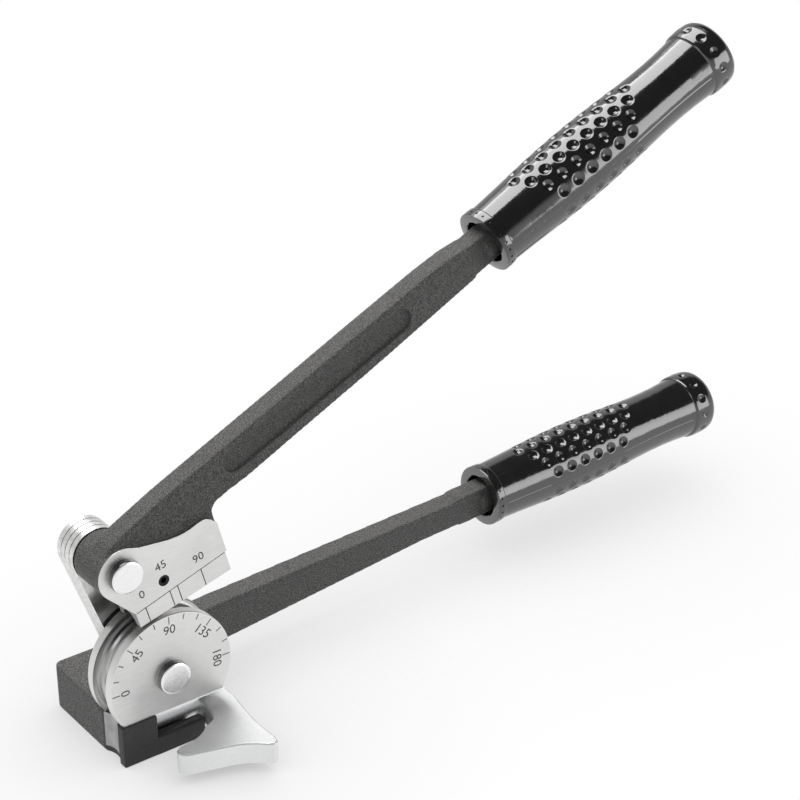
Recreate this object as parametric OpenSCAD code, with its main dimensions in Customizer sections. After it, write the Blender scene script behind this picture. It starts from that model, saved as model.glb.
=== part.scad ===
// Lever tube bender, standing on the flat bottom of its lower handle's block.
// X runs right, Y runs back and Z up. Y = 0 is the middle of the tube groove,
// and the wheel's axis stands above the origin. Sizes are in millimetres.

/* [Tube] */
// outside diameter of the tube it bends
tube_od = 8; // [7:0.25:8.5]
// bend radius at the tube's centre line
bend_radius = 24; // [23.5:0.25:25]
// room round the tube in the grooves
groove_clear = 0.1; // [0.05:0.05:0.2]
// half of the gap between the wheel's rim and the shoe's lips
rim_gap = 0.2; // [0.2:0.05:0.35]

/* [Wheel] */
// width of the wheel
wheel_w = 15.5; // [14.5:0.25:16]
// height of the wheel's axis above the flat bottom
axis_z = 29.5; // [29:0.25:31]
// flat under the wheel, measured down from its axis
chord = 13.2; // [13:0.1:13.5]
// thickness of the thrust washer behind the wheel
thrust_t = 0.75; // [0.5:0.05:1]

/* [Pins and bushes] */
// radius of both pins
pin_r = 4; // [3.5:0.1:4.2]
// radius of the pin heads
pin_head_r = 6; // [5.7:0.1:6.6]
// height of the pin heads
pin_head_h = 3; // [2:0.25:3.5]
// wall of the bushes
bush_wall = 1.5; // [1:0.1:1.6]
// thickness of the washers under the retaining rings
pin_washer_t = 0.8; // [0.6:0.1:1]
// thickness of the retaining rings
ring_t = 1; // [0.8:0.1:1.2]

/* [Links] */
// thickness of one link plate
link_t = 2.7; // [2.4:0.1:2.8]
// radius of the plates' ends and of the upper handle's boss
boss_r = 9.5; // [9.25:0.25:10]

/* [Shoe] */
// upper pin along the shoe, from the mark for 0
pin_s = -3.6; // [-4:0.1:-3.2]
// upper pin above the tube's centre line
pin_h = 24.4; // [24:0.1:25]
// far end of the shoe
shoe_end = 33.3; // [32.5:0.1:33.5]
// top of the shoe's visible strip
strip_h = 7.3; // [6.8:0.1:7.5]
// step from the head's face back to the strip
strip_step = 1.5; // [1:0.1:1.8]
// thickness of the shoe's tongue
tongue_t = 6; // [5:0.25:6.5]
// radius of the set screw
set_screw_r = 2; // [1.75:0.25:2.25]

/* [Upper handle] */
// head's face in front of the wheel's face
head_proud = 0.5; // [0.3:0.1:0.8]
// thickness of the bar
upper_bar_t = 8.5; // [7.5:0.25:9.5]
// depth of the long pocket
pocket_depth = 1; // [0.5:0.25:1.5]

/* [Lower handle] */
// thickness of the lug behind the links
web_t = 6; // [5:0.25:7]
// width of the block's part behind the links
foot_w = 20; // [19:0.25:21]
// thickness of the bar
lower_bar_t = 9; // [8:0.25:10]
// width of the jaw under the wheel
jaw_w = 13.6; // [13:0.1:14]
// width of the machined strip in the block's left face
strip_w = 9.4; // [8:0.2:10]
// depth of that strip
strip_cut = 0.6; // [0.4:0.1:0.8]
// height of the arm in front of the latch
arm_h = 7.3; // [6.5:0.1:7.4]

/* [Latch] */
// radius of the barrel
barrel_r = 5.9; // [5.5:0.1:6]
// radius of the latch pin
latch_pin_r = 2.5; // [2.25:0.05:2.75]
// thickness of the wing
wing_t = 8.4; // [7.5:0.1:8.6]

/* [Grips] */
// radius of the collar at the mouth
collar_r = 12.2; // [11.8:0.1:12.6]
// radius at the belly
belly_r = 13.2; // [12.8:0.1:13.6]
// radius at the waist
waist_r = 11.85; // [11.5:0.05:12.2]
// radius of the end flange
flange_r = 13.7; // [13.3:0.1:14.2]
// length of the grip
grip_len = 118.5; // [116:0.5:122]
// radius of the tangs
tang_r = 5.5; // [5:0.1:5.75]
// radius of the mouth round the bar
mouth_r = 8.5; // [8.25:0.05:8.75]

/* [Fits] */
// radial clearance of pieces that turn on each other
run_fit = 0.05; // [0.03:0.01:0.08]
// radial clearance of pieces put together for good
fit = 0.03; // [0.02:0.01:0.05]
// gap between faces that slide past each other
face_gap = 0.4; // [0.3:0.05:0.5]

/* [Hidden] */
$fn = 96;
over = 1;
reading = 75;
tilt = 90 - reading;
slide = 0.05;
wheel_r = bend_radius - rim_gap;
groove_r = tube_od / 2 + groove_clear;
face_y = -wheel_w / 2;
rear_y = wheel_w / 2;
links_y = rear_y + thrust_t + 2 * slide;
links_end = links_y + 4 * link_t;
bush_r = pin_r + run_fit + bush_wall;
link_hole_r = bush_r + fit;
ring_groove_r = pin_r - 0.7;
ring_r = pin_r + 2;
washer_r = pin_r + 3.5;

head_y = face_y - head_proud;
head_end = links_y - face_gap;
strip_y = head_y + strip_step;
shoe_w = -2 * strip_y;
tongue_h = strip_h + 9.9;
set_screw_s = 8.7;
set_screw_h = 13.2;
set_screw_len = -head_y - tongue_t / 2 - fit - 0.3;
upper_y = -2.5;
upper_collar = [164.9, 58.5];
upper_lean = 10.3;

web_y = links_end + face_gap;
web_end = web_y + web_t;
foot_end = web_y + foot_w;
lower_y = web_y + foot_w / 2;
lower_collar = [164.8, 26.7];
lower_lean = 3.6;
lower_foot = lower_collar[1] - lower_collar[0] * tan(lower_lean);

block_top = axis_z - chord;
block_left = -(bend_radius - tube_od / 2) - strip_cut;
block_front = face_y - 0.9;
rear_top = block_top + 1.3;
jaw_right = block_left + jaw_w;
latch_x = jaw_right + 7;
arm_right = latch_x + 11.2;
arm_y = -4.25;
pocket_back = 8.2;
floor_z = 3.4;
barrel_y = 1.75;
barrel_z = block_top - 0.4 - barrel_r;
barrel_x0 = jaw_right + face_gap;
barrel_x1 = bend_radius + rim_gap - 0.5;
wing_z = barrel_z - barrel_r;
latch_pin_x0 = jaw_right - 9.5;
latch_pin_x1 = barrel_x1 - 4.3;
latch_screw_x = barrel_x1 - 7.2;
latch_screw_r = 1.5;
dog_r = 0.9;
dog_groove_r = latch_pin_r - 0.6;
wheel_screw_r = 1.5;
wheel_screw_head_r = 2.6;
wheel_screw_head_h = 3;
wheel_screw_len = 21;
wheel_screw_y = -4.6;
wheel_screw_x = [block_left + 4.6, block_left + 10.4];

tang_len = 98;
mouth_depth = 10;
bar_in_mouth = 6;

// an outline in X and Z, given its thickness along Y
module upright(y0, y1) {
  translate([0, y1, 0])
    rotate([90, 0, 0])
      linear_extrude(y1 - y0)
        children();
}

// a round bar along Y at x, z
module along_y(x, z, y0, y1, r) {
  translate([x, y0, z])
    rotate([-90, 0, 0])
      cylinder(h = y1 - y0, r = r);
}

// a round bar along X at y, z
module along_x(y, z, x0, x1, r) {
  translate([x0, y, z])
    rotate([0, 90, 0])
      cylinder(h = x1 - x0, r = r);
}

// where the shoe stands: X along it from the mark for 0, Z away from the wheel
module at_shoe() {
  translate([0, 0, axis_z])
    rotate([0, -tilt, 0])
      translate([0, 0, bend_radius])
        children();
}

// a handle's axis: Z runs out along it from the grip's mouth
module at_axis(collar, y, lean) {
  translate([collar[0], y, collar[1]])
    rotate([0, 90 - lean, 0])
      children();
}

module at_upper_axis() {
  at_shoe()
    at_axis(upper_collar, upper_y, upper_lean)
      children();
}

module at_lower_axis() {
  at_axis(lower_collar, lower_y, lower_lean)
    children();
}

module washer(x, z, y0, t, r, hole) {
  difference() {
    along_y(x, z, y0, y0 + t, r);
    along_y(x, z, y0 - over, y0 + t + over, hole);
  }
}

// a retaining ring with an open side
module retaining_ring(x, z, y0) {
  difference() {
    washer(x, z, y0, ring_t, ring_r, ring_groove_r + fit);
    translate([x - 2, y0 - over, z - ring_r - over])
      cube([4, ring_t + 2 * over, ring_r + over]);
  }
}

// a headed pin along Y with a groove for its retaining ring
module headed_pin(x, z, y0, groove_y) {
  difference() {
    union() {
      along_y(x, z, y0 - pin_head_h, y0, pin_head_r);
      along_y(x, z, y0, groove_y + ring_t + 1.2, pin_r);
    }
    washer(x, z, groove_y - slide, ring_t + 2 * slide, pin_r + over, ring_groove_r);
  }
}

module grip() {
  difference() {
    rotate_extrude()
      polygon([
        [0, 0], [collar_r, 0], [collar_r, 3.8], [collar_r - 0.5, 4.6], [collar_r, 16],
        [belly_r - 0.4, 30], [belly_r, 42], [belly_r, 54], [belly_r - 0.5, 66], [waist_r, 84],
        [waist_r, 91], [waist_r + 0.5, grip_len - 17.5], [flange_r - 0.9, grip_len - 10.5],
        [flange_r, grip_len - 7.5], [flange_r, grip_len - 4.8], [flange_r - 1.2, grip_len - 2.1],
        [flange_r - 6, grip_len - 0.5], [0, grip_len]
      ]);
    translate([0, 0, -over])
      cylinder(h = mouth_depth + over, r = mouth_r);
    cylinder(h = tang_len + 1, r = tang_r + fit);
  }
}

module tang() {
  translate([0, 0, bar_in_mouth - 8])
    cylinder(h = tang_len - bar_in_mouth + 8, r = tang_r);
}

// the flat sides of a bar, from the head's end to the grip's mouth
module bar_end(t) {
  translate([-6, -t / 2, -14])
    cube([12, t, 14 + bar_in_mouth]);
}

module form_handle() {
  color("#4a4948")
    difference() {
      union() {
        // jaw under the wheel and the block behind it
        translate([block_left, block_front, 0])
          cube([jaw_w, pocket_back - block_front + over, block_top]);
        translate([block_left, pocket_back, 0])
          cube([arm_right - block_left, foot_end - pocket_back, rear_top]);
        // floor under the latch and the arm in front of it
        translate([jaw_right - over, arm_y - over, 0])
          cube([arm_right - 2 - jaw_right + over, pocket_back - arm_y + 2 * over, floor_z]);
        translate([jaw_right - over, block_front, 0])
          cube([arm_right - 2.2 - jaw_right + over, arm_y - block_front, arm_h]);
        translate([arm_right - 2.2, (block_front + arm_y) / 2, 0])
          cylinder(h = arm_h, r = 2.2);
        // lug for the wheel's pin, behind the links
        upright(web_y, web_end)
          polygon([
            [-boss_r - 3, rear_top - over], [-boss_r, axis_z], [boss_r, axis_z],
            [34, lower_foot + 9.4], [34, lower_foot - 7], [arm_right, 0], [-boss_r - 3, 0]
          ]);
        along_y(0, axis_z, web_y, web_end, boss_r);
        // bar, deeper where it grows out of the block
        upright(lower_y - lower_bar_t / 2, lower_y + lower_bar_t / 2)
          polygon([
            [-6, 0], [arm_right, 0], [30, lower_foot - 7.4], [133, lower_foot + 3.2],
            [156, lower_foot + 4.4], [156, lower_foot + 14.8], [30, lower_foot + 9.4],
            [10, lower_foot + 6.5], [-6, rear_top]
          ]);
        at_lower_axis()
          bar_end(lower_bar_t - 0.5);
        at_lower_axis()
          tang();
      }
      // machined strip that the tube lies on
      translate([block_left - over, -strip_w / 2, 3])
        cube([strip_cut + over, strip_w, block_top]);
      along_y(0, axis_z, web_y - over, web_end + over, pin_r + fit);
      along_x(barrel_y, barrel_z, latch_pin_x0, jaw_right + over, latch_pin_r + fit);
      for (x = wheel_screw_x) {
        translate([x, wheel_screw_y, -over])
          cylinder(h = block_top + 2 * over, r = wheel_screw_r + fit);
        translate([x, wheel_screw_y, -over])
          cylinder(h = wheel_screw_head_h + 0.5 + over, r = wheel_screw_head_r + fit);
      }
    }
}

module form_grip() {
  color("#151516")
    at_lower_axis()
      grip();
}

module form_wheel() {
  color("#cfcfcd")
    difference() {
      translate([0, 0, axis_z])
        rotate([90, 0, 0])
          rotate_extrude()
            difference() {
              translate([0, face_y])
                square([wheel_r, wheel_w]);
              translate([bend_radius, 0])
                circle(r = groove_r);
            }
      translate([-wheel_r - over, face_y - over, -over])
        cube([2 * (wheel_r + over), wheel_w + 2 * over, block_top + over]);
      along_y(0, axis_z, face_y - over, rear_y + over, pin_r + fit);
      for (x = wheel_screw_x)
        translate([x, wheel_screw_y, block_top - over])
          cylinder(h = wheel_screw_len - block_top + 1.5 + over, r = wheel_screw_r + fit);
    }
}

module wheel_screws() {
  color("#3a3a3c")
    for (x = wheel_screw_x)
      translate([x, wheel_screw_y, 0.5])
        difference() {
          union() {
            cylinder(h = wheel_screw_head_h, r = wheel_screw_head_r);
            cylinder(h = wheel_screw_len, r = wheel_screw_r);
          }
          translate([0, 0, -over])
            cylinder(h = 1.6 + over, r = 1.3, $fn = 6);
        }
}

module wheel_pin() {
  color("#d8d8d8")
    headed_pin(0, axis_z, face_y, web_end + pin_washer_t + slide);
}

module wheel_washer() {
  color("#b5b5b5")
    washer(0, axis_z, rear_y, thrust_t + slide, washer_r + 1.5, pin_r + fit);
}

module wheel_pin_washer() {
  color("#b5b5b5")
    washer(0, axis_z, web_end, pin_washer_t, washer_r, pin_r + fit);
}

module wheel_pin_ring() {
  color("#3a3a3c")
    retaining_ring(0, axis_z, web_end + pin_washer_t + slide);
}

module latch_pin() {
  color("#b5b5b5")
    difference() {
      along_x(barrel_y, barrel_z, latch_pin_x0 + 0.5, latch_pin_x1, latch_pin_r);
      difference() {
        along_x(barrel_y, barrel_z, latch_screw_x - 1.3, latch_screw_x + 1.3, latch_pin_r + over);
        along_x(barrel_y, barrel_z, latch_screw_x - 1.3, latch_screw_x + 1.3, dog_groove_r);
      }
    }
}

// one of the four plates, counted from the front
module link_plate(i) {
  y0 = links_y + i * link_t;
  color("#c9c9c7")
    at_shoe()
      difference() {
        upright(y0, y0 + link_t)
          hull() {
            translate([0, -bend_radius])
              circle(r = boss_r);
            translate([pin_s, pin_h])
              circle(r = boss_r);
          }
        along_y(0, -bend_radius, y0 - over, y0 + link_t + over, link_hole_r);
        along_y(pin_s, pin_h, y0 - over, y0 + link_t + over, pin_r + fit);
      }
}

module link_plate_1() {
  link_plate(0);
}

module link_plate_2() {
  link_plate(1);
}

module link_plate_3() {
  link_plate(2);
}

module link_plate_4() {
  link_plate(3);
}

module link_bush() {
  color("#b08d4c")
    washer(0, axis_z, links_y, 4 * link_t, bush_r, pin_r + run_fit);
}

module link_pin() {
  color("#d8d8d8")
    at_shoe()
      headed_pin(pin_s, pin_h, head_y, links_end + pin_washer_t + slide);
}

module link_pin_washer() {
  color("#b5b5b5")
    at_shoe()
      washer(pin_s, pin_h, links_end, pin_washer_t, washer_r, pin_r + fit);
}

module link_pin_ring() {
  color("#3a3a3c")
    at_shoe()
      retaining_ring(pin_s, pin_h, links_end + pin_washer_t + slide);
}

module shoe_handle() {
  color("#4a4948")
    at_shoe()
      difference() {
        union() {
          // head: the boss and the flat face over the shoe
          along_y(pin_s, pin_h, head_y, head_end, boss_r);
          upright(head_y, head_end)
            polygon([
              [pin_s - boss_r, pin_h], [-4.5, strip_h + 0.6], [-4.5, strip_h],
              [shoe_end, strip_h], [shoe_end, 22.5], [32.5, 22.8], [30.2, 25.4], [27.8, 26],
              [23.5, 25.6], [18.5, 25.9], [11.5, 28], [4.7, 30.5], [pin_s, pin_h + boss_r]
            ]);
          // bar
          upright(upper_y - upper_bar_t / 2, upper_y + upper_bar_t / 2)
            polygon([
              [-10.5, 31], [-4.5, 35.4], [1.2, 37.3], [18.7, 41.2], [46.1, 46.5], [68.3, 50.6],
              [104.4, 56.4], [135.4, 61.4], [156, 62.4], [156, 51], [135, 47.7], [104, 42.1],
              [69.7, 35.6], [50.2, 31], [40.9, 29.6], [35.6, 28.2], [33.7, 26.2], [shoe_end, 22],
              [20, 20], [pin_s, pin_h]
            ]);
          at_axis(upper_collar, upper_y, upper_lean)
            bar_end(upper_bar_t - 0.5);
          at_axis(upper_collar, upper_y, upper_lean)
            tang();
        }
        along_y(pin_s, pin_h, head_y - over, head_end + over, bush_r + fit);
        // slot for the shoe's tongue
        translate([-2.5, -tongue_t / 2 - fit, strip_h - over])
          cube([shoe_end - 1.5 + 2.5, tongue_t + 2 * fit, tongue_h + 0.2 - strip_h + over]);
        along_y(set_screw_s, set_screw_h, head_y - over, -tongue_t / 2, set_screw_r + fit);
        // long pocket in the front
        translate([47, upper_y - upper_bar_t / 2, 39])
          rotate([0, -9.5, 0]) {
            along_y(0, 0, -over, pocket_depth, 4.3);
            along_y(76, 0, -over, pocket_depth, 4.3);
            translate([0, -over, -4.3])
              cube([76, pocket_depth + over, 8.6]);
          }
      }
}

module shoe_grip() {
  color("#151516")
    at_upper_axis()
      grip();
}

module handle_bush() {
  color("#b08d4c")
    at_shoe()
      washer(pin_s, pin_h, head_y + slide, head_end - head_y - slide, bush_r, pin_r + run_fit);
}

module shoe() {
  color("#cfcfcd")
    at_shoe()
      difference() {
        union() {
          translate([-4, strip_y, rim_gap])
            cube([shoe_end + 4, shoe_w, strip_h - rim_gap]);
          translate([-2.5 + fit, -tongue_t / 2, strip_h - over])
            cube([shoe_end - 1.5 + 2.5 - 2 * fit, tongue_t, tongue_h - strip_h + over]);
        }
        along_x(0, 0, -4 - over, shoe_end + over, groove_r);
      }
}

module shoe_screw() {
  color("#1c1c1e")
    at_shoe()
      difference() {
        along_y(set_screw_s, set_screw_h, head_y + 0.3, head_y + 0.3 + set_screw_len, set_screw_r);
        translate([set_screw_s, head_y, set_screw_h])
          rotate([-90, 0, 0])
            cylinder(h = 2.5, r = 1.15, $fn = 6);
      }
}

module latch() {
  neck_x = arm_right + 1 - latch_x;
  wing_right = barrel_x1 - latch_x;
  color("#d4d4d2")
    difference() {
      union() {
        along_x(barrel_y, barrel_z, barrel_x0, barrel_x1, barrel_r);
        translate([latch_x, 0, wing_z])
          linear_extrude(wing_t)
            polygon([
              [neck_x, barrel_y], [neck_x, -9], [neck_x - 0.6, -12.8], [9.8, -16.6], [7.9, -18.1],
              [5, -20.2], [2.1, -21.6], [-2, -22.1], [-6, -22], [-8.6, -22.9], [-9.9, -24.6],
              [-10.2, -26.8], [-9.6, -28.4], [-8.2, -29.5], [-5, -30.4], [1.5, -32.6], [6, -33.6],
              [10.7, -35.5], [14.5, -38.2], [17, -40.7], [18.9, -41.6], [20.6, -40.6], [21.3, -38],
              [21.3, -31], [22, -21.4], [23, -15], [wing_right, -10], [wing_right, barrel_y]
            ]);
      }
      along_x(barrel_y, barrel_z, barrel_x0 - over, latch_pin_x1 + 0.5, latch_pin_r + run_fit);
      translate([latch_screw_x, barrel_y, wing_z - over])
        cylinder(h = barrel_r + over, r = latch_screw_r + fit);
    }
}

module latch_screw() {
  color("#3a3a3c")
    translate([latch_screw_x, barrel_y, wing_z + 0.3])
      difference() {
        union() {
          cylinder(h = barrel_r - latch_pin_r - 0.5, r = latch_screw_r);
          cylinder(h = barrel_r - dog_groove_r - 0.5, r = dog_r);
        }
        translate([0, 0, -over])
          cylinder(h = over + 1.2, r = 0.8, $fn = 6);
      }
}

form_handle();
form_grip();
form_wheel();
wheel_screws();
wheel_pin();
wheel_washer();
wheel_pin_washer();
wheel_pin_ring();
latch_pin();
link_plate_1();
link_plate_2();
link_plate_3();
link_plate_4();
link_bush();
link_pin();
link_pin_washer();
link_pin_ring();
shoe_handle();
shoe_grip();
handle_bush();
shoe();
shoe_screw();
latch();
latch_screw();
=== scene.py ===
from math import asin, atan2, degrees, exp, log, pi, radians, sqrt

import bmesh
import bpy
from mathutils import Matrix, Vector


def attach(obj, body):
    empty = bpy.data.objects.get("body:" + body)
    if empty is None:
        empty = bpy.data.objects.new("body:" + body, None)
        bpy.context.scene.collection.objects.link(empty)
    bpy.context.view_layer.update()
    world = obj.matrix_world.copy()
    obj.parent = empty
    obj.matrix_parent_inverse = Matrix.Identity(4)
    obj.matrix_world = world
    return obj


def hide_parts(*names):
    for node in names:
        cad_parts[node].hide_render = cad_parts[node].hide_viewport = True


# Lever tube bender. Shapes are worked out in millimetres and scaled to metres when a piece is finished.
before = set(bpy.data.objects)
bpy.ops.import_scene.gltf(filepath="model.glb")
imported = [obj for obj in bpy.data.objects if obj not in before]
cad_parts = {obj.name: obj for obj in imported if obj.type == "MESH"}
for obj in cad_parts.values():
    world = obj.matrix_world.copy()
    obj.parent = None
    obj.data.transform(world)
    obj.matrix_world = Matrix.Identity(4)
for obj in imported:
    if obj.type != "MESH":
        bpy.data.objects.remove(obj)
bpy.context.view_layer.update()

MM = 0.001
WELD = 1e-4
QUARTER_TURN = radians(90)
FULL_TURN = radians(360)

# Sizes shared with the part's solids. Wheel, tube groove and pins:
BEND_RADIUS = 24.0
GROOVE_RADIUS = 4.1
RIM_GAP = 0.2
WHEEL_RADIUS = BEND_RADIUS - RIM_GAP
WHEEL_WIDTH = 15.5
WHEEL_FACE = -WHEEL_WIDTH / 2
AXIS_HEIGHT = 29.5
CHORD_DROP = 13.2
PIN_RADIUS = 4.0
PIN_HEAD_RADIUS = 6.0
PIN_HEAD_HEIGHT = 3.0
BUSH_RADIUS = 5.55
FIT = 0.03

# Links, upper lever and shoe, in the shoe's tilted frame:
LINK_COUNT = 4
LINK_THICKNESS = 2.7
LINKS_FRONT = 8.6
LINKS_BACK = LINKS_FRONT + LINK_COUNT * LINK_THICKNESS
BOSS_RADIUS = 9.5
SHOE_TILT = 15.0
UPPER_PIN = (-3.6, 24.4)
SHOE_START = -4.0
SHOE_END = 33.3
STRIP_HEIGHT = 7.3
STRIP_FACE = -6.75
TONGUE_HALF = 3.0
TONGUE_TOP = 17.2
HEAD_FACE = -8.25
HEAD_BACK = 8.2
SET_SCREW = (8.7, 13.2)
SET_SCREW_RADIUS = 2.03
UPPER_BAR = (-6.75, 1.75)

# Lower lever: block, jaw, strip for the tube, lug and bar:
BLOCK_LEFT = -20.6
BLOCK_FRONT = -8.65
BLOCK_BACK = 39.8
BLOCK_TOP = 16.3
REAR_TOP = 17.6
JAW_RIGHT = -7.0
ARM_RIGHT = 11.2
STRIP_FLOOR = -20.0
STRIP_EDGE = -20.4
STRIP_HALF = 4.7
CHANNEL_DEPTH = 1.5
LUG = (19.8, 25.8)
LOWER_BAR = (25.3, 34.3)
LOWER_FOOT = 16.33

# Grips and latch:
TANG_RADIUS = 5.5
MOUTH_RADIUS = 8.5
MOUTH_DEPTH = 10.0
BARREL = (1.75, 10.0)
BARREL_RADIUS = 5.9
BARREL_SPAN = (-6.6, 23.7)
WING_BOTTOM = 4.1
WING_THICKNESS = 8.4

# Half the groove's width at the rim, and the angle that its arc spans
GROOVE_EDGE = sqrt(GROOVE_RADIUS**2 - RIM_GAP**2)
GROOVE_WRAP = pi - 2 * RIM_GAP / GROOVE_RADIUS

# Places of the tilted pieces
SHOE_PLACE = (
    Matrix.Translation((0, 0, AXIS_HEIGHT))
    @ Matrix.Rotation(radians(-SHOE_TILT), 4, "Y")
    @ Matrix.Translation((0, 0, BEND_RADIUS))
)
UPPER_AXIS = (
    SHOE_PLACE @ Matrix.Translation((164.9, -2.5, 58.5)) @ Matrix.Rotation(radians(79.7), 4, "Y")
)
LOWER_AXIS = Matrix.Translation((164.8, 29.8, 26.7)) @ Matrix.Rotation(radians(86.4), 4, "Y")
WHEEL_PLACE = Matrix.Translation((0, 0, AXIS_HEIGHT))
STANDING = Matrix.Identity(4)


# Shader helpers
def add(tree, kind, inputs=None, **settings):
    """A new node; an input is a value, or another node's socket to link."""
    node = tree.nodes.new(kind)
    for key, value in settings.items():
        setattr(node, key, value)
    for key, value in (inputs or {}).items():
        if isinstance(value, bpy.types.NodeSocket):
            tree.links.new(value, node.inputs[key])
        else:
            node.inputs[key].default_value = value
    return node


def maths(tree, operation, first, second, **settings):
    node = add(tree, "ShaderNodeMath", {0: first, 1: second}, operation=operation, **settings)
    return node.outputs["Value"]


def vectors(tree, operation, first, second):
    node = add(tree, "ShaderNodeVectorMath", {0: first, 1: second}, operation=operation)
    return node.outputs["Vector"]


def noise(tree, coords, scale, detail):
    node = add(tree, "ShaderNodeTexNoise", {"Vector": coords, "Scale": scale, "Detail": detail})
    return node.outputs["Fac"]


def span(tree, value, low=0.0, high=1.0, start=0.0, end=1.0):
    """The value, carried from between start and end to between low and high."""
    limits = {"From Min": start, "From Max": end, "To Min": low, "To Max": high}
    return add(tree, "ShaderNodeMapRange", {"Value": value, **limits}).outputs["Result"]


def blend_colours(tree, mask, low, high):
    mix = add(tree, "ShaderNodeMix", data_type="RGBA")
    tree.links.new(mask, mix.inputs[0])
    for index, colour in ((6, low), (7, high)):
        if isinstance(colour, bpy.types.NodeSocket):
            tree.links.new(colour, mix.inputs[index])
        else:
            mix.inputs[index].default_value = (*colour, 1.0)
    return mix.outputs[2]


def grey(level):
    return (level, level, level)


# Surface effects shared by the materials
STREAK_SCALE = 900.0
RING_WANDER = 0.06
WEAR_SCALE = 400.0
WEAR_START, WEAR_END = 0.53, 0.62


def effect_group(name, inputs, outputs):
    """A node group whose inputs are numbers or vectors and whose outputs are masks."""
    group = bpy.data.node_groups.new(name, "ShaderNodeTree")
    for label, value in inputs.items():
        kind = "NodeSocketVector" if isinstance(value, tuple) else "NodeSocketFloat"
        group.interface.new_socket(label, in_out="INPUT", socket_type=kind).default_value = value
    for label in outputs:
        group.interface.new_socket(label, in_out="OUTPUT", socket_type="NodeSocketFloat")
    coords = add(group, "ShaderNodeTexCoord").outputs["Object"]
    return group, coords, add(group, "NodeGroupInput").outputs, add(group, "NodeGroupOutput").inputs


def grain_effect():
    """Fine grains with a slower mottle under them."""
    group, coords, given, out = effect_group("grain", {"Fine": 1500.0, "Broad": 120.0}, ["Grain", "Mottle"])
    fine = noise(group, coords, given["Fine"], 2.0)
    broad = noise(group, coords, given["Broad"], 3.0)
    group.links.new(span(group, fine, start=0.32, end=0.68), out["Grain"])
    group.links.new(span(group, broad, start=0.3, end=0.7), out["Mottle"])
    return group


def streak_effect():
    """Tool marks: noise drawn out along one direction."""
    group, coords, given, out = effect_group("streaks", {"Stretch": (1.0, 1.0, 1.0)}, ["Streak"])
    drawn = vectors(group, "MULTIPLY", coords, given["Stretch"])
    marks = noise(group, drawn, STREAK_SCALE, 3.0)
    group.links.new(span(group, marks, start=0.3, end=0.7), out["Streak"])
    return group


def lathe_effect():
    """Turned marks: rings round an axis along Y, a little broken along their length."""
    given_inputs = {"Axis": (0.0, 0.0, 0.0), "Scale": 700.0}
    group, coords, given, out = effect_group("lathe_marks", given_inputs, ["Ring"])
    centred = vectors(group, "SUBTRACT", coords, given["Axis"])
    flat = vectors(group, "MULTIPLY", centred, (1.0, 0.0, 1.0))
    reach = add(group, "ShaderNodeVectorMath", {0: flat}, operation="LENGTH").outputs["Value"]
    depth = add(group, "ShaderNodeSeparateXYZ", {"Vector": centred}).outputs["Y"]
    ring = add(group, "ShaderNodeCombineXYZ", {"X": reach, "Y": depth}).outputs["Vector"]
    wander = vectors(group, "MULTIPLY", centred, (RING_WANDER,) * 3)
    marks = noise(group, vectors(group, "ADD", ring, wander), given["Scale"], 4.0)
    group.links.new(span(group, marks, start=0.34, end=0.66), out["Ring"])
    return group


def edge_wear_effect():
    """A mask along the outside edges, broken up by noise."""
    group, coords, _, out = effect_group("edge_wear", {}, ["Wear"])
    corner = add(group, "ShaderNodeNewGeometry").outputs["Pointiness"]
    edge = span(group, corner, start=WEAR_START, end=WEAR_END)
    patchy = noise(group, coords, WEAR_SCALE, 4.0)
    group.links.new(maths(group, "MULTIPLY", edge, patchy, use_clamp=True), out["Wear"])
    return group


GRAIN = grain_effect()
STREAKS = streak_effect()
LATHE_MARKS = lathe_effect()
EDGE_WEAR = edge_wear_effect()


def effect(tree, group, **values):
    return add(tree, "ShaderNodeGroup", values, node_tree=group).outputs


# Materials
MARK_DEPTH = 0.0001
STREAK_TONE = 0.88
STREAK_SHARE = 0.35


def new_material(name, shader_inputs):
    """A new material with one Principled shader; the caller feeds its sockets."""
    material = bpy.data.materials.new(name)
    material.use_nodes = True
    tree = material.node_tree
    tree.nodes.clear()
    out = add(tree, "ShaderNodeOutputMaterial")
    shader = add(tree, "ShaderNodeBsdfPrincipled", shader_inputs)
    tree.links.new(shader.outputs["BSDF"], out.inputs["Surface"])
    return material, tree, shader


def feed(tree, shader, colour, roughness):
    tree.links.new(colour, shader.inputs["Base Color"])
    tree.links.new(roughness, shader.inputs["Roughness"])


def bump(tree, shader, height, strength, distance):
    node = add(tree, "ShaderNodeBump", {"Height": height, "Strength": strength, "Distance": distance})
    tree.links.new(node.outputs["Normal"], shader.inputs["Normal"])


def dark_coat(name, gloss, fine, broad, ground, speck, worn, rough_mask, rough, relief):
    """A coat on forged steel: a mottled ground, lighter specks and rubbed edges."""
    material, tree, shader = new_material(name, {"Specular IOR Level": gloss})
    grain = effect(tree, GRAIN, Fine=fine, Broad=broad)
    mottled = blend_colours(tree, grain["Mottle"], *ground)
    speckled = blend_colours(tree, grain["Grain"], mottled, speck)
    colour = blend_colours(tree, effect(tree, EDGE_WEAR)["Wear"], speckled, worn)
    feed(tree, shader, colour, span(tree, grain[rough_mask], *rough))
    bump(tree, shader, grain["Grain"], *relief)
    return material


def bare_metal(name, dark, light, stretch, rough, mottle=60.0, marks=0.06):
    """Metal with tool marks along one direction."""
    material, tree, shader = new_material(name, {"Metallic": 1.0})
    streak = effect(tree, STREAKS, Stretch=stretch)["Streak"]
    tone = blend_colours(tree, effect(tree, GRAIN, Broad=mottle)["Mottle"], dark, light)
    drawn = tuple(STREAK_TONE * c for c in dark)
    colour = blend_colours(tree, span(tree, streak, STREAK_SHARE, 0.0), tone, drawn)
    feed(tree, shader, colour, span(tree, streak, *rough))
    bump(tree, shader, streak, marks, MARK_DEPTH)
    return material


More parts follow.
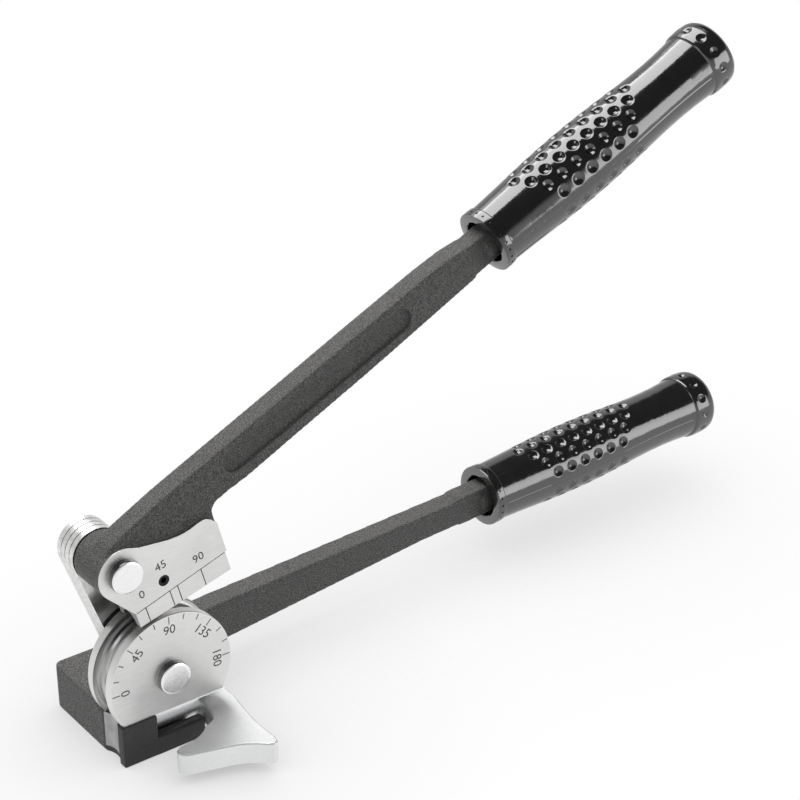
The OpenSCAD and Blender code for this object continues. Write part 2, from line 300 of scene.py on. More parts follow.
def turned_metal(name, axis, scale, dark, light, rough, marks):
    """Metal with rings from the lathe."""
    material, tree, shader = new_material(name, {"Metallic": 1.0})
    ring = effect(tree, LATHE_MARKS, Axis=axis, Scale=scale)["Ring"]
    feed(tree, shader, blend_colours(tree, ring, dark, light), span(tree, ring, *rough))
    bump(tree, shader, ring, marks, MARK_DEPTH)
    return material


def mottled_tone(name, shader_inputs, fine, broad, dark, light, rough_mask, rough, relief=None):
    """A surface whose tone and finish drift a little."""
    material, tree, shader = new_material(name, shader_inputs)
    grain = effect(tree, GRAIN, Fine=fine, Broad=broad)
    colour = blend_colours(tree, grain["Mottle"], dark, light)
    feed(tree, shader, colour, span(tree, grain[rough_mask], *rough))
    if relief:
        bump(tree, shader, grain["Mottle"], *relief)
    return material


FORGED_COAT = dark_coat(
    "dark_forged_coat",
    gloss=0.5,
    fine=2300.0,
    broad=90.0,
    ground=((0.032, 0.0315, 0.031), (0.054, 0.053, 0.052)),
    speck=(0.21, 0.205, 0.20),
    worn=(0.24, 0.23, 0.22),
    rough_mask="Grain",
    rough=(0.66, 0.42),
    relief=(0.75, 0.00026),
)
SMOOTH_COAT = dark_coat(
    "dark_smooth_coat",
    gloss=0.4,
    fine=2400.0,
    broad=70.0,
    ground=(grey(0.029), (0.044, 0.044, 0.043)),
    speck=(0.068, 0.067, 0.066),
    worn=(0.2, 0.195, 0.19),
    rough_mask="Mottle",
    rough=(0.5, 0.62),
    relief=(0.25, MARK_DEPTH),
)
DIAL_STEEL = bare_metal(
    "dial_steel", (0.72, 0.715, 0.71), (0.82, 0.815, 0.81), (0.25, 1.0, 1.0), (0.36, 0.46), mottle=45.0
)
HEAD_STEEL = bare_metal(
    "machined_head_steel", (0.70, 0.695, 0.69), (0.80, 0.795, 0.79), (0.2, 1.0, 1.0), (0.36, 0.46)
)
# A darker, more mottled steel than the head's face.
STRIP_STEEL = bare_metal(
    "darker_strip_steel", grey(0.30), (0.54, 0.535, 0.53), (1.0, 1.0, 0.3), (0.34, 0.5), mottle=160.0
)
# Darker, rougher steel for the shoe's end faces; the darker tone is painted shade that tones down the
# overhead lamp's highlight on them.
END_STEEL_PAINTED_SHADE = bare_metal(
    "shoe_end_steel_painted_shade",
    (0.42, 0.418, 0.415),
    (0.52, 0.518, 0.515),
    (1.0, 1.0, 0.3),
    (0.74, 0.84),
    mottle=120.0,
)
GROOVE_STEEL = turned_metal(
    "groove_steel",
    axis=(0.0, 0.0, AXIS_HEIGHT * MM),
    scale=620.0,
    dark=grey(0.10),
    light=(0.66, 0.655, 0.65),
    rough=(0.24, 0.36),
    marks=0.15,
)
PIN_STEEL = bare_metal(
    "bright_pin_steel", grey(0.93), grey(0.97), (1.0, 0.2, 1.0), (0.26, 0.32), marks=0.008
)
# Darker copy of the pin steel for the pins' sides: painted shade for the dark reflection and shadow round
# each head.
PIN_SIDE_PAINTED_SHADE = bare_metal(
    "pin_side_painted_shade", grey(0.11), (0.36, 0.36, 0.355), (1.0, 0.2, 1.0), (0.22, 0.32), marks=0.01
)
ZINC_PLATE = bare_metal(
    "zinc_plate_edge", (0.66, 0.66, 0.655), (0.98, 0.98, 0.97), (1.0, 1.6, 0.2), (0.32, 0.44), mottle=800.0
)
# Darker copy of the zinc for the plates' flat faces: painted shade for the shadow and dark reflection near
# the boss; the edges keep the lighter zinc.
ZINC_FACE_PAINTED_SHADE = bare_metal(
    "zinc_plate_face_painted_shade", (0.50, 0.50, 0.495), (0.74, 0.74, 0.73), (1.0, 1.0, 0.3), (0.16, 0.24), mottle=300.0
)
LATCH_METAL = bare_metal(
    "cast_latch_metal", (0.78, 0.785, 0.79), (0.88, 0.885, 0.89), (1.0, 0.6, 1.0), (0.44, 0.52), mottle=35.0
)
BRONZE = bare_metal("bronze_bush", (0.42, 0.30, 0.14), (0.52, 0.38, 0.19), (1.0, 0.2, 1.0), (0.35, 0.45))
GRIP_VINYL = mottled_tone(
    "black_grip_vinyl",
    {"IOR": 2.0},
    fine=2600.0,
    broad=160.0,
    dark=(0.004, 0.004, 0.0045),
    light=(0.008, 0.008, 0.009),
    rough_mask="Mottle",
    rough=(0.09, 0.15),
    relief=(0.1, 0.0003),
)
CUT_END = mottled_tone(
    "grip_cut_end",
    {"IOR": 2.2},
    fine=2200.0,
    broad=200.0,
    dark=grey(0.012),
    light=grey(0.022),
    rough_mask="Grain",
    rough=(0.1, 0.18),
)
# Grey of the engraving; the same grey draws the painted shadow line under the head's edge.
ENGRAVING_AND_SHADOW_GREY = mottled_tone(
    "engraving_and_painted_shadow_grey",
    {"Specular IOR Level": 0.2},
    fine=3000.0,
    broad=700.0,
    dark=grey(0.06),
    light=(0.15, 0.15, 0.148),
    rough_mask="Grain",
    rough=(0.6, 0.8),
)
BLACK_STEEL = mottled_tone(
    "blackened_steel",
    {"Metallic": 0.6},
    fine=2600.0,
    broad=300.0,
    dark=(0.012, 0.012, 0.013),
    light=(0.03, 0.03, 0.032),
    rough_mask="Grain",
    rough=(0.32, 0.5),
)


# Mesh helpers
FORGING_VOXEL = 0.45
FORGING_ROUNDS = 13
SHARP_CORNER = radians(50)
ROUND_PARTS = 48


def swept(bm, start, centre, axis, angle, parts):
    """Carries a vertex along an arc and returns the vertex at its end."""
    arc = bmesh.ops.spin(bm, geom=[start], cent=centre, axis=axis, angle=angle, steps=parts)
    return next(item for item in arc["geom_last"] if isinstance(item, bmesh.types.BMVert))


def outline(bm, steps):
    """A closed loop in X and Z. A step is a point, or an arc: (centre x, centre z, degrees, parts)."""
    first = last = bm.verts.new((steps[0][0], 0, steps[0][1]))
    for x, z, *arc in steps[1:]:
        if arc:
            turn, parts = arc
            last = swept(bm, last, (x, 0, z), (0, -1, 0), radians(turn), parts)
        else:
            point = bm.verts.new((x, 0, z))
            bm.edges.new((last, point))
            last = point
    if (last.co - first.co).length > WELD:
        bm.edges.new((last, first))
    bmesh.ops.remove_doubles(bm, verts=bm.verts, dist=WELD)


def round_ended(low, high, radius, parts):
    """The steps of an outline with straight sides and round ends about two centres."""
    along = (high - low).normalized()
    side = Vector((along.z, 0, -along.x)) * radius
    start, across, back = low + side, high + side, low - side
    return [
        (start.x, start.z),
        (across.x, across.z),
        (high.x, high.z, 180, parts),
        (back.x, back.z),
        (low.x, low.z, 180, parts),
    ]


def thicken(bm, y0, y1):
    """Fills the loops of a fresh outline and draws them out from y0 to y1."""
    bmesh.ops.triangle_fill(bm, use_beauty=True, edges=bm.edges[:], normal=(0, -1, 0))
    bmesh.ops.dissolve_limit(bm, angle_limit=0.001, verts=bm.verts, edges=bm.edges)
    drawn = bmesh.ops.extrude_face_region(bm, geom=bm.faces[:])
    far_side = [item for item in drawn["geom"] if isinstance(item, bmesh.types.BMVert)]
    bmesh.ops.translate(bm, verts=far_side, vec=(0, y1 - y0, 0))
    bmesh.ops.translate(bm, verts=bm.verts, vec=(0, y0, 0))
    bmesh.ops.recalc_face_normals(bm, faces=bm.faces)


def soften(bm, width, segments, edges=None):
    """Rounds the sharp edges, all of them or those given."""
    sharp = [
        edge
        for edge in (bm.edges if edges is None else edges)
        if edge.is_manifold and edge.calc_face_angle(0) > SHARP_CORNER
    ]
    bmesh.ops.bevel(
        bm,
        geom=sharp,
        offset=width,
        segments=segments,
        profile=0.5,
        affect="EDGES",
        material=-1,
        clamp_overlap=True,
    )


def slab(steps, y0, y1, holes=()):
    """An outline drawn out from y0 to y1, with round holes through it."""
    bm = bmesh.new()
    outline(bm, steps)
    for x, z, radius in holes:
        place = Matrix.Translation((x, 0, z)) @ Matrix.Rotation(QUARTER_TURN, 4, "X")
        bmesh.ops.create_circle(bm, segments=ROUND_PARTS, radius=radius, matrix=place)
    thicken(bm, y0, y1)
    return bm


def block(x, y, z):
    """A box between two values on each axis."""
    bm = bmesh.new()
    size = Matrix.Diagonal((x[1] - x[0], y[1] - y[0], z[1] - z[0], 1))
    middle = Matrix.Translation(((x[0] + x[1]) / 2, (y[0] + y[1]) / 2, (z[0] + z[1]) / 2))
    bmesh.ops.create_cube(bm, size=1, matrix=middle @ size)
    return bm


def spun_round(bm, along, parts):
    """Turns a fresh profile once round an axis through the origin."""
    bmesh.ops.spin(
        bm,
        geom=bm.verts[:] + bm.edges[:],
        cent=(0, 0, 0),
        axis=along,
        angle=FULL_TURN,
        steps=parts,
        use_merge=True,
    )
    bmesh.ops.remove_doubles(bm, verts=bm.verts, dist=WELD)


def turned(profile, axis="Y", parts=64):
    """A shape of revolution. The profile's points are (radius, distance along the axis)."""
    bm = bmesh.new()
    along = {"Y": Vector((0, 1, 0)), "Z": Vector((0, 0, 1))}[axis]
    points = [bm.verts.new(Vector((r, 0, 0)) + along * d) for r, d in profile]
    for pair in zip(points, points[1:]):
        bm.edges.new(pair)
    spun_round(bm, along, parts)
    bmesh.ops.recalc_face_normals(bm, faces=bm.faces)
    return bm


def moved(bm, place):
    bmesh.ops.transform(bm, matrix=place, verts=bm.verts)
    return bm


def rod(x, z, y0, y1, radius):
    bm = turned([(0, y0), (radius, y0), (radius, y1), (0, y1)], "Y", ROUND_PARTS)
    return moved(bm, Matrix.Translation((x, 0, z)))


def joined(*shapes):
    """One bmesh out of several."""
    whole = bmesh.new()
    for shape in shapes:
        mesh = bpy.data.meshes.new("joining")
        shape.to_mesh(mesh)
        shape.free()
        whole.from_mesh(mesh)
        bpy.data.meshes.remove(mesh)
    return whole


def as_object(name, bm):
    mesh = bpy.data.meshes.new(name)
    bm.to_mesh(mesh)
    bm.free()
    made = bpy.data.objects.new(name, mesh)
    bpy.context.scene.collection.objects.link(made)
    return made


def worked_shape(work, *tools):
    """The shape of an object with its modifiers applied; the object and its tools are removed."""
    view = bpy.context.evaluated_depsgraph_get()
    mesh = bpy.data.meshes.new_from_object(work.evaluated_get(view))
    bm = bmesh.new()
    bm.from_mesh(mesh)
    bpy.data.meshes.remove(mesh)
    for spent in (work, *tools):
        bpy.data.objects.remove(spent)
    return bm


def cast_as_one(*shells):
    """Melts overlapping shells into one forging with rounded edges and fillets."""
    work = as_object("forging_work", joined(*shells))
    skin = work.modifiers.new("skin", "REMESH")
    skin.mode = "VOXEL"
    skin.voxel_size = FORGING_VOXEL
    ease = work.modifiers.new("ease", "SMOOTH")
    ease.factor = 0.5
    ease.iterations = FORGING_ROUNDS
    return worked_shape(work)


def bored(bm, cutters):
    """Clean machined holes in a finished shape."""
    work = as_object("bore_work", bm)
    tools = [as_object(f"bore_{number}", cutter) for number, cutter in enumerate(cutters)]
    for tool in tools:
        cut = work.modifiers.new("bore", "BOOLEAN")
        cut.operation = "DIFFERENCE"
        cut.solver = "EXACT"
        cut.object = tool
    return worked_shape(work, *tools)


def piece(name, bm, materials, body, nodes, place=STANDING, sharp=32.0, paint=None, flat=True):
    """Puts a finished shape in place, in metres, and ties it to the body that carries it."""
    bmesh.ops.remove_doubles(bm, verts=bm.verts, dist=WELD)
    if paint:
        for face in bm.faces:
            face.material_index = paint(face)
    bmesh.ops.transform(bm, matrix=Matrix.Scale(MM, 4) @ place, verts=bm.verts)
    made = as_object(name, bm)
    for material in materials:
        made.data.materials.append(material)
    made.data.shade_smooth()
    made.data.set_sharp_from_angle(angle=radians(sharp))
    if flat:
        weighted = made.modifiers.new("flat_faces", "WEIGHTED_NORMAL")
        weighted.keep_sharp = True
    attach(made, body)
    if nodes:
        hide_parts(*nodes)
    return made


# Lower lever: forging, jaw and the machined strip that the tube lies on.
# LAP is how far its blocks run into each other, SOLE how far the outlines stay above the base.
LAP = 1.0
SOLE = 0.3
LUG_OUTLINE = [
    (-BOSS_RADIUS - 3, REAR_TOP - 1),
    (-BOSS_RADIUS, AXIS_HEIGHT),
    (0, AXIS_HEIGHT, -180, 24),
    (34, LOWER_FOOT + 9.4),
    (34, LOWER_FOOT - 7),
    (ARM_RIGHT, SOLE),
    (-BOSS_RADIUS - 3, SOLE),
]
LOWER_BAR_OUTLINE = [
    (-6, SOLE),
    (ARM_RIGHT, SOLE),
    (30, LOWER_FOOT - 7.4),
    (133, LOWER_FOOT + 3.2),
    (156, LOWER_FOOT + 4.4),
    (156, LOWER_FOOT + 14.8),
    (30, LOWER_FOOT + 9.4),
    (10, LOWER_FOOT + 6.5),
    (-6, REAR_TOP),
]
LOWER_END_HALF = 4.25
BAR_END_HEIGHT = (-6.0, 6.0)
BAR_END_SPAN = (-14.0, 6.0)
TANG_SPAN = (-2.0, 97.0)
BORE_REACH = 2.0
BACK_CORNER = 3.0
CHANNEL_BACK = STRIP_FLOOR + 3
INNER_LEFT = STRIP_FLOOR + 2.4
LIP_HALF = STRIP_HALF + 0.2
LIP_TOP = 3.0
LIP_INSET = 0.25
FLOOR_TOP = 3.4
FLOOR_FRONT = -5.2
FLOOR_RIGHT = ARM_RIGHT - 2
ARM_TOP = 7.3
ARM_BACK = -4.25
ARM_END = ARM_RIGHT + 0.85
ARM_CORNER = 1.3
STRIP_SPAN = (2.4, BLOCK_TOP - 0.1)
STRIP_CLEAR = 0.05


def tang_shells(axis, half):
    """The end of a bar in its grip's mouth, and the round tang that the grip sits on."""
    bar_end = block(BAR_END_HEIGHT, (-half, half), BAR_END_SPAN)
    start, end = TANG_SPAN
    profile = [(0, start), (TANG_RADIUS, start), (TANG_RADIUS, end), (0, end)]
    return moved(bar_end, axis), moved(turned(profile, "Z", ROUND_PARTS), axis)


def is_upright(edge):
    return abs(edge.verts[0].co.z - edge.verts[1].co.z) > 1


def lower_forging():
    rear = block((BLOCK_LEFT, ARM_RIGHT), (HEAD_BACK, BLOCK_BACK), (0, REAR_TOP))
    back_corners = [e for e in rear.edges if is_upright(e) and e.verts[0].co.y > HEAD_BACK + 1]
    soften(rear, BACK_CORNER, 6, back_corners)
    under = block((BLOCK_LEFT, JAW_RIGHT), (STRIP_HALF, HEAD_BACK + LAP), (0, BLOCK_TOP))
    lug = slab(LUG_OUTLINE, *LUG)
    bar = slab(LOWER_BAR_OUTLINE, *LOWER_BAR)
    skin = cast_as_one(rear, under, lug, bar, *tang_shells(LOWER_AXIS, LOWER_END_HALF))
    return bored(skin, [rod(0, AXIS_HEIGHT, LUG[0] - BORE_REACH, LUG[1] + BORE_REACH, PIN_RADIUS + FIT)])


def channel(half, inset, z0, z1):
    """An upright bar whose left side is a shallow round channel for the tube."""
    edge = STRIP_EDGE + inset
    radius = (half**2 + CHANNEL_DEPTH**2) / (2 * CHANNEL_DEPTH)
    centre = edge + CHANNEL_DEPTH - radius
    section = [
        (edge, -half),
        (centre, 0, 2 * degrees(asin(half / radius)), 16),
        (CHANNEL_BACK, half),
        (CHANNEL_BACK, -half),
    ]
    return moved(slab(section, z0, z1), Matrix.Rotation(QUARTER_TURN, 4, "X"))


def lower_jaw():
    """Front cheek, the metal behind the strip, the lip under it, the floor and the low arm."""
    front = block((BLOCK_LEFT, JAW_RIGHT), (BLOCK_FRONT, -STRIP_HALF), (0, BLOCK_TOP))
    inner = block((INNER_LEFT, JAW_RIGHT), (-STRIP_HALF - LAP, HEAD_BACK + LAP), (0, BLOCK_TOP))
    lip = channel(LIP_HALF, LIP_INSET, 0, LIP_TOP)
    floor = block((JAW_RIGHT - LAP, FLOOR_RIGHT), (FLOOR_FRONT, HEAD_BACK + LAP), (0, FLOOR_TOP))
    arm = block((JAW_RIGHT - LAP, ARM_END), (BLOCK_FRONT, ARM_BACK), (0, ARM_TOP))
    soften(arm, ARM_CORNER, 5, [e for e in arm.edges if is_upright(e) and e.verts[0].co.x > ARM_RIGHT])
    for shape, width in ((front, 0.8), (inner, 0.3), (floor, 0.3), (arm, 0.6)):
        soften(shape, width, 4)
    return joined(front, inner, lip, floor, arm)


def jaw_strip():
    return channel(STRIP_HALF - STRIP_CLEAR, 0, *STRIP_SPAN)


piece(
    "lower_lever_forging",
    lower_forging(),
    [FORGED_COAT],
    "form",
    ["form_handle"],
    sharp=60,
    flat=False,
)
piece("lower_lever_jaw", lower_jaw(), [SMOOTH_COAT], "form", ["form_handle"])
piece("lower_lever_strip", jaw_strip(), [STRIP_STEEL], "form", ["form_handle"])


# Upper lever: forging with the long pocket, and the bare machined face of its head
SHOE_SEAM = 0.3
SEAM_RISE = 1.8
HEAD_OUTLINE = [
    (-11.71, 19.465),
    (*UPPER_PIN, -156.3, 30),
    (4.7, 30.5),
    (8.0, 29.3),
    (11.5, 28.0),
    (15.0, 26.7),
    (18.5, 25.9),
    (21.0, 25.6),
    (23.5, 25.6),
    (26.0, 25.9),
    (27.8, 26.0),
    (29.2, 25.9),
    (30.3, 25.3),
    (31.5, 24.2),
    (32.5, 22.8),
    (SHOE_END, 21.5),
    (SHOE_END, STRIP_HEIGHT + SHOE_SEAM + SEAM_RISE),
    (-4.7, STRIP_HEIGHT + SHOE_SEAM),
]
UPPER_BAR_OUTLINE = [
    (-10.5, 31),
    (-4.5, 35.4),
    (1.2, 37.3),
    (18.7, 41.2),
    (46.1, 46.0),
    (68.3, 49.9),
    (104.4, 56.4),
    (135.4, 61.7),
    (148, 63.3),
    (156, 63.4),
    (156, 50.2),
    (135, 46.0),
    (104, 39.9),
    (69.7, 33.8),
    (50.2, 30.2),
    (40.9, 29.2),
    (35.6, 28.2),
    (33.7, 26.2),
    (SHOE_END, 22),
    (20, 20),
    UPPER_PIN,
]
POCKET_START = Vector((47, 0, 39))
POCKET_LEAN = 9.5
POCKET_LENGTH = 76
POCKET_RADIUS = 4.3
POCKET_DEPTH = 1.7
POCKET_END = POCKET_START + POCKET_LENGTH * (
    Matrix.Rotation(radians(-POCKET_LEAN), 3, "Y") @ Vector((1, 0, 0))
)
UPPER_END_HALF = 4.0
FORGED_FRONT = HEAD_FACE + 0.4
LAYER_LAP = 0.05
FACE_THICKNESS = 2.0
FACE_EASE = 0.18


def upper_forging():
    head = slab(HEAD_OUTLINE, FORGED_FRONT, HEAD_BACK)
    pocket_floor = UPPER_BAR[0] + POCKET_DEPTH
    front = bmesh.new()
    outline(front, UPPER_BAR_OUTLINE)
    outline(front, round_ended(POCKET_START, POCKET_END, POCKET_RADIUS, 16))
    thicken(front, UPPER_BAR[0], pocket_floor)
    bar = slab(UPPER_BAR_OUTLINE, pocket_floor - LAYER_LAP, UPPER_BAR[1])
    tang = tang_shells(SHOE_PLACE.inverted() @ UPPER_AXIS, UPPER_END_HALF)
    start = HEAD_FACE - BORE_REACH
    bores = [
        rod(*UPPER_PIN, start, HEAD_BACK + BORE_REACH, BUSH_RADIUS + FIT),
        rod(*SET_SCREW, start, -TONGUE_HALF, SET_SCREW_RADIUS),
    ]
    return bored(cast_as_one(head, front, bar, *tang), bores)


def head_face():
    bores = [(*UPPER_PIN, BUSH_RADIUS + FIT), (*SET_SCREW, SET_SCREW_RADIUS)]
    plate = slab(HEAD_OUTLINE, HEAD_FACE, HEAD_FACE + FACE_THICKNESS, bores)
    front = [e for e in plate.edges if all(v.co.y < HEAD_FACE + 0.1 for v in e.verts)]
    soften(plate, FACE_EASE, 2, front)
    return plate


piece(
    "upper_lever_forging",
    upper_forging(),
    [FORGED_COAT],
    "shoe_lever",
    ["shoe_handle"],
    place=SHOE_PLACE,
    sharp=60,
    flat=False,
)
piece(
    "upper_lever_face",
    head_face(),
    [HEAD_STEEL, FORGED_COAT],
    "shoe_lever",
    ["shoe_handle"],
    place=SHOE_PLACE,
    paint=lambda face: int(face.calc_center_median().y > HEAD_FACE + 0.3),
)


# Shoe under the head: grooved strip and the tongue that goes up into the head
TONGUE_SPAN = (-2.4, SHOE_END - 1.6)


def shoe_block():
    top = STRIP_HEIGHT + SEAM_RISE
    section = [
        (STRIP_FACE, RIM_GAP),
        (-GROOVE_EDGE, RIM_GAP),
        (0, 0, -degrees(GROOVE_WRAP), 20),
        (-STRIP_FACE, RIM_GAP),
        (-STRIP_FACE, top),
        (STRIP_FACE, top),
    ]
    strip = moved(slab(section, SHOE_START, SHOE_END), Matrix.Rotation(-QUARTER_TURN, 4, "Z"))
    tongue = block(TONGUE_SPAN, (-TONGUE_HALF, TONGUE_HALF), (STRIP_HEIGHT - LAP, TONGUE_TOP))
    soften(strip, 0.2, 2)
    soften(tongue, 0.4, 2)
    return joined(strip, tongue)


piece(
    "shoe_block",
    shoe_block(),
    [HEAD_STEEL, END_STEEL_PAINTED_SHADE],
    "shoe_lever",
    ["shoe"],
    place=SHOE_PLACE,
    # End faces take the darker steel: painted shade.
    paint=lambda face: int(abs(face.normal.x) > 0.9),
)


# Wheel with its dial: the section is drawn out from the axis and turned, then cut flat along the chord
WHEEL_PARTS = 120
GROOVE_PARTS = 18
WHEEL_BORE = PIN_RADIUS + FIT
RIM_LIP = 0.15
HUB_RADIUS = 10.0


def grooved_wheel():
    front = [
        (WHEEL_BORE, WHEEL_FACE),
        (WHEEL_RADIUS - 0.6, WHEEL_FACE),
        (WHEEL_RADIUS - 0.2, WHEEL_FACE + 0.12),
        (WHEEL_RADIUS, WHEEL_FACE + 0.4),
        (WHEEL_RADIUS, -GROOVE_EDGE - RIM_LIP),
        (WHEEL_RADIUS - 0.1, -GROOVE_EDGE),
    ]
    back = [
        (WHEEL_RADIUS, GROOVE_EDGE + RIM_LIP),
        (WHEEL_RADIUS, -WHEEL_FACE - 0.35),
        (WHEEL_RADIUS - 0.1, -WHEEL_FACE - 0.1),
        (WHEEL_RADIUS - 0.35, -WHEEL_FACE),
        (WHEEL_BORE, -WHEEL_FACE),
    ]
    bm = bmesh.new()
    points = [bm.verts.new((r, y, 0)) for r, y in front]
    for pair in zip(points, points[1:]):
        bm.edges.new(pair)
    last = swept(bm, points[-1], (BEND_RADIUS, 0, 0), (0, 0, -1), GROOVE_WRAP, GROOVE_PARTS)
    for r, y in back:
        point = bm.verts.new((r, y, 0))
        bm.edges.new((last, point))
        last = point
    bm.edges.new((last, points[0]))
    spun_round(bm, (0, 1, 0), WHEEL_PARTS)
    cut = bmesh.ops.bisect_plane(
        bm,
        geom=bm.verts[:] + bm.edges[:] + bm.faces[:],
        dist=1e-5,
        plane_co=(0, 0, -CHORD_DROP),
        plane_no=(0, 0, -1),
        clear_outer=True,
    )
    rim = [item for item in cut["geom_cut"] if isinstance(item, bmesh.types.BMEdge)]
    bmesh.ops.edgenet_fill(bm, edges=rim)
    bmesh.ops.recalc_face_normals(bm, faces=bm.faces)
    return bm


def in_groove(face):
    """Groove faces take the second material; the bore and the flat chord don't."""
    middle = face.calc_center_median()
    reach = Vector((middle.x, middle.z)).length
    under_rim = HUB_RADIUS < reach < WHEEL_RADIUS - 0.15
    on_chord = face.normal.z <= -0.999
    return int(abs(middle.y) < GROOVE_RADIUS and under_rim and not on_chord)


piece(
    "grooved_wheel",
    grooved_wheel(),
    [DIAL_STEEL, GROOVE_STEEL],
    "form",
    ["form_wheel"],
    place=WHEEL_PLACE,
    sharp=25,
    paint=in_groove,
)


# Engraved ticks, lines and figures, and a painted shadow line under the head's edge, laid a hair above the
# metal
INLAY = 0.02
LINE_HALF = 0.17
SEAM_SHADOW_HALF = 0.13
TICK_STEP, FIGURE_STEP, DIAL_END = 15, 45, 180
SHORT_TICK, LONG_TICK = 2.1, 2.9
TICK_INSET = 0.6
DIAL_FIGURE_HEIGHT = 3.4
DIAL_FIGURE_RADIUS = 18.0
HEAD_FIGURE_HEIGHT = 3.1
HEAD_FIGURES = (("0", -0.2, 13.2), ("45", 9.3, 19.2), ("90", 22.8, 13.5))
SHOE_LINES = (0.0, 9.94, 13.1, 22.9)
LINE_INSET = 0.3
LINE_SHORTER = 0.8
SEAM_SHADOW_DROP = 1.05
FIGURE_SHARE = 0.7
STAND_UP = Matrix.Rotation(-QUARTER_TURN, 4, "Y")


def stroke(x0, x1, half):
    """A flat mark along X."""
    bm = bmesh.new()
    middle = Matrix.Translation(((x0 + x1) / 2, 0, 0)) @ Matrix.Rotation(QUARTER_TURN, 4, "X")
    size = Matrix.Diagonal(((x1 - x0) / 2, half, 1, 1))
    bmesh.ops.create_grid(bm, x_segments=4, y_segments=1, size=1, matrix=middle @ size)
    return bm


def figures(text, height):
    """Plain figures, standing in X and Z round their own middle."""
    curve = bpy.data.curves.new("figures", "FONT")
    curve.body = text
    curve.size = height / FIGURE_SHARE
    curve.align_x = "CENTER"
    curve.align_y = "CENTER"
    curve.resolution_u = 3
    holder = bpy.data.objects.new("figures", curve)
    bpy.context.scene.collection.objects.link(holder)
    return moved(worked_shape(holder), Matrix.Rotation(QUARTER_TURN, 4, "X"))


def on_dial(angle, radius):
    """A place on the dial whose Z runs outward; angle in degrees of bend."""
    lean = Matrix.Rotation(radians(angle - 90), 4, "Y")
    return Matrix.Translation((0, WHEEL_FACE - INLAY, 0)) @ lean @ Matrix.Translation((0, 0, radius))


def dial_marks():
    shapes = []
    for angle in range(0, DIAL_END + 1, TICK_STEP):
        length = SHORT_TICK if angle % FIGURE_STEP else LONG_TICK
        place = on_dial(angle, WHEEL_RADIUS - TICK_INSET - length)
        shapes.append(moved(stroke(0, length, LINE_HALF), place @ STAND_UP))
    for angle in range(0, DIAL_END + 1, FIGURE_STEP):
        shapes.append(moved(figures(str(angle), DIAL_FIGURE_HEIGHT), on_dial(angle, DIAL_FIGURE_RADIUS)))
    return joined(*shapes)


def head_marks():
    """Figures on the head, lines across the shoe's strip, and a painted shadow line along its seam under
    the head's edge.
    """
    shapes = []
    for text, x, z in HEAD_FIGURES:
        place = Matrix.Translation((x, HEAD_FACE - INLAY, z))
        shapes.append(moved(figures(text, HEAD_FIGURE_HEIGHT), place))
    seam_length = SHOE_END - SHOE_START
    for x in SHOE_LINES:
        place = Matrix.Translation((x, STRIP_FACE - INLAY, RIM_GAP + LINE_INSET))
        seam = STRIP_HEIGHT + SEAM_RISE * (x - SHOE_START) / seam_length
        shapes.append(moved(stroke(0, seam - RIM_GAP - LINE_SHORTER, LINE_HALF), place @ STAND_UP))
    # The line along the seam is painted shadow: the shade under the head's overhanging edge, in the
    # engraving grey.
    lean = Matrix.Rotation(-atan2(SEAM_RISE, seam_length), 4, "Y")
    start = Matrix.Translation((SHOE_START, STRIP_FACE - INLAY, STRIP_HEIGHT - SEAM_SHADOW_DROP))
    seam_shadow = stroke(LINE_INSET, seam_length - LINE_INSET, SEAM_SHADOW_HALF)
    shapes.append(moved(seam_shadow, start @ lean))
    return joined(*shapes)


piece("dial_marks", dial_marks(), [ENGRAVING_AND_SHADOW_GREY], "form", [], WHEEL_PLACE)
piece("head_marks", head_marks(), [ENGRAVING_AND_SHADOW_GREY], "shoe_lever", [], SHOE_PLACE)


# Pins with plain round heads and a groove for the retaining ring
RING_OFFSET = 0.85
RING_GROOVE = (-0.05, 1.05)
RING_DEPTH = 0.7
PIN_TAIL = 2.2
PIN_CHAMFER = 0.4


def headed_pin(face, groove):
    """A pin along Y: its head lies in front of face, its ring groove starts at groove."""
    top = face - PIN_HEAD_HEIGHT
    end = groove + PIN_TAIL
    ring_start, ring_end = (groove + step for step in RING_GROOVE)
    return turned(
        [
            (0, top),
            (PIN_HEAD_RADIUS - 1.2, top),
            (PIN_HEAD_RADIUS - 0.55, top + 0.12),
            (PIN_HEAD_RADIUS - 0.15, top + 0.45),
            (PIN_HEAD_RADIUS, top + 0.9),
            (PIN_HEAD_RADIUS, face - 0.15),
            (PIN_HEAD_RADIUS - 0.15, face),
            (PIN_RADIUS, face),
            (PIN_RADIUS, ring_start),
            (PIN_RADIUS - RING_DEPTH, ring_start),
            (PIN_RADIUS - RING_DEPTH, ring_end),
            (PIN_RADIUS, ring_end),
            (PIN_RADIUS, end - PIN_CHAMFER),
            (PIN_RADIUS - PIN_CHAMFER, end),
            (0, end),
        ]
    )


for label, shape, body, node, place in (
    ("wheel_pin_turned", headed_pin(WHEEL_FACE, LUG[1] + RING_OFFSET), "form", "wheel_pin", WHEEL_PLACE),
    (
        "link_pin_turned",
        headed_pin(HEAD_FACE, LINKS_BACK + RING_OFFSET),
        "link",
        "link_pin",
        SHOE_PLACE @ Matrix.Translation((UPPER_PIN[0], 0, UPPER_PIN[1])),
    ),
):
    piece(
        label,
        shape,
        [PIN_STEEL, PIN_SIDE_PAINTED_SHADE],
        body,
        [node],
        place=place,
        # Side faces take the darker copy of the pin steel: painted shade.
        paint=lambda face: int(abs(face.normal.y) < 0.5),
    )


# Link plates, one by one
LINK_MARGIN = 0.02
LINK_GAP = 0.14
LINK_EASE = 0.3


